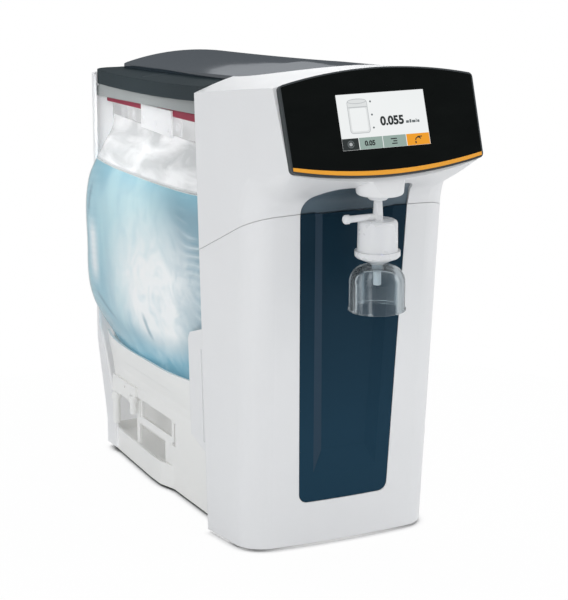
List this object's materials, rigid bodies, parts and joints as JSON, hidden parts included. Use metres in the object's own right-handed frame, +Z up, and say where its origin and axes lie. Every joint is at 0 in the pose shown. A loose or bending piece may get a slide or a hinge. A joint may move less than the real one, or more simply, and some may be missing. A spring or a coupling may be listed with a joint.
{
  "type": "ultrapure water system",
  "caption": "Bench-top ultrapure water system: white housing with an overhanging touch display, navy dispensing niche, filter capsule with bell, slate lid and an open bay with a water bag.",
  "frame": {"origin": "middle of the footprint on the bench, at the underside of the feet", "axes": "+Z up, the display and dispensing side face -Y, +X is to the right of a user who faces the display"},
  "size_m": [0.2853, 0.5071, 0.5023],
  "materials": {
    "white_housing": "fine satin moulded plastic",
    "slate_lid": "smooth semi-gloss moulded plastic",
    "navy_panel": "satin to semi-gloss moulded plastic",
    "black_glass": "polished black cover lens",
    "grey_bezel": "fine matt moulded plastic",
    "orange_accent": "satin strip",
    "screen_face": "lit touch display",
    "green_board": "solder-masked board",
    "milky_plastic": "natural translucent polypropylene",
    "clear_bell": "clear thin-walled moulding",
    "red_bar": "matt moulded plastic",
    "water_bag_film": "clear welded film filled with water",
    "black_plastic": "fine matt moulded plastic",
    "foot_rubber": "moulded rubber",
    "steel": "brushed and plated steel",
    "grey_fittings": "moulded fittings",
    "cartridge_white": "smooth moulded pressure tubes",
    "blue_tube": "flexible tubing"
  },
  "bodies": {
    "chassis": {"rear_housing": "white_housing", "front_cover": "white_housing", "head_cover": "white_housing", "base_tray": "white_housing", "lower_bulkhead": "white_housing", "bag_cradle": "white_housing", "hanger_plate": "white_housing", "partition_wall": "white_housing", "top_frame": "white_housing", "drain_bracket": "white_housing", "bar_hooks": "white_housing", "rear_drain_spigot": "white_housing", "front_drain_spigot": "white_housing", "niche_panel": "navy_panel", "outlet_hood": "navy_panel", "display_glass": "black_glass", "display_bezel": "grey_bezel", "rear_panel": "grey_bezel", "accent_strip": "orange_accent", "touch_screen": "screen_face", "display_board": "green_board", "main_board": "green_board", "outlet_ring": "milky_plastic", "outer_bar": "red_bar", "inner_bar": "red_bar", "water_bag": "water_bag_film", "power_inlet": "black_plastic", "switch_frame": "black_plastic", "data_port": "black_plastic", "pump_head": "black_plastic", "foot_pads": "foot_rubber", "hinge_pins": "steel", "pump_motor": "steel", "uv_reactor": "steel", "pump_bracket": "steel", "power_supply": "steel", "feed_water_port": "grey_fittings", "drain_port": "grey_fittings", "manifold_block": "grey_fittings", "module_clips": "grey_fittings", "cartridge_holder": "grey_fittings", "inlet_valve": "grey_fittings", "drain_valve": "grey_fittings", "osmosis_module": "cartridge_white", "feed_tube": "blue_tube", "pressure_tube": "blue_tube", "dispense_tube": "blue_tube", "module_tube": "blue_tube"},
    "lid": {"lid_frame": "slate_lid", "lid_panel": "slate_lid"},
    "side_cover": {"right_side_cover": "white_housing"},
    "capsule": {"capsule_top": "milky_plastic", "capsule_base": "milky_plastic", "filter_membrane": "milky_plastic"},
    "vent_cap": {"vent_plug": "milky_plastic"},
    "bell": {"bell": "clear_bell"},
    "rocker": {"power_switch": "black_plastic"},
    "front_cartridge": {"front_cartridge": "cartridge_white"},
    "rear_cartridge": {"rear_cartridge": "cartridge_white"},
    "rotor": {"pump_rotor": "grey_fittings"}
  },
  "joints": [
    {"name": "lid_hinge", "type": "hinge", "parent": "chassis", "child": "lid", "pos_m": [0, 0.24, 0.4478], "axis": [-1, 0, 0], "range_deg": [0, 75]},
    {"name": "side_cover_pull", "type": "slide", "parent": "chassis", "child": "side_cover", "axis": [1, 0, 0], "range_m": [0, 0.06]},
    {"name": "capsule_pull", "type": "slide", "parent": "chassis", "child": "capsule", "axis": [0, 0, -1], "range_m": [0, 0.03]},
    {"name": "bell_pull", "type": "slide", "parent": "capsule", "child": "bell", "axis": [0, 0, -1], "range_m": [0, 0.03]},
    {"name": "vent_turn", "type": "hinge", "parent": "capsule", "child": "vent_cap", "pos_m": [-0.0335, -0.2245, 0.3575], "axis": [-1, 0, 0], "range_deg": [0, 180]},
    {"name": "power_rocker", "type": "hinge", "parent": "chassis", "child": "rocker", "pos_m": [0.012, 0.2315, 0.076], "axis": [1, 0, 0], "range_deg": [-9, 9]},
    {"name": "front_cartridge_twist", "type": "hinge", "parent": "chassis", "child": "front_cartridge", "pos_m": [0.066, 0.006, 0.112], "axis": [0, 0, 1], "range_deg": [0, 45]},
    {"name": "rear_cartridge_twist", "type": "hinge", "parent": "chassis", "child": "rear_cartridge", "pos_m": [0.066, 0.09, 0.112], "axis": [0, 0, 1], "range_deg": [0, 45]},
    {"name": "rotor_spin", "type": "hinge", "parent": "chassis", "child": "rotor", "pos_m": [-0.024, -0.021, 0.052], "axis": [0, 1, 0], "continuous": true}
  ]
}
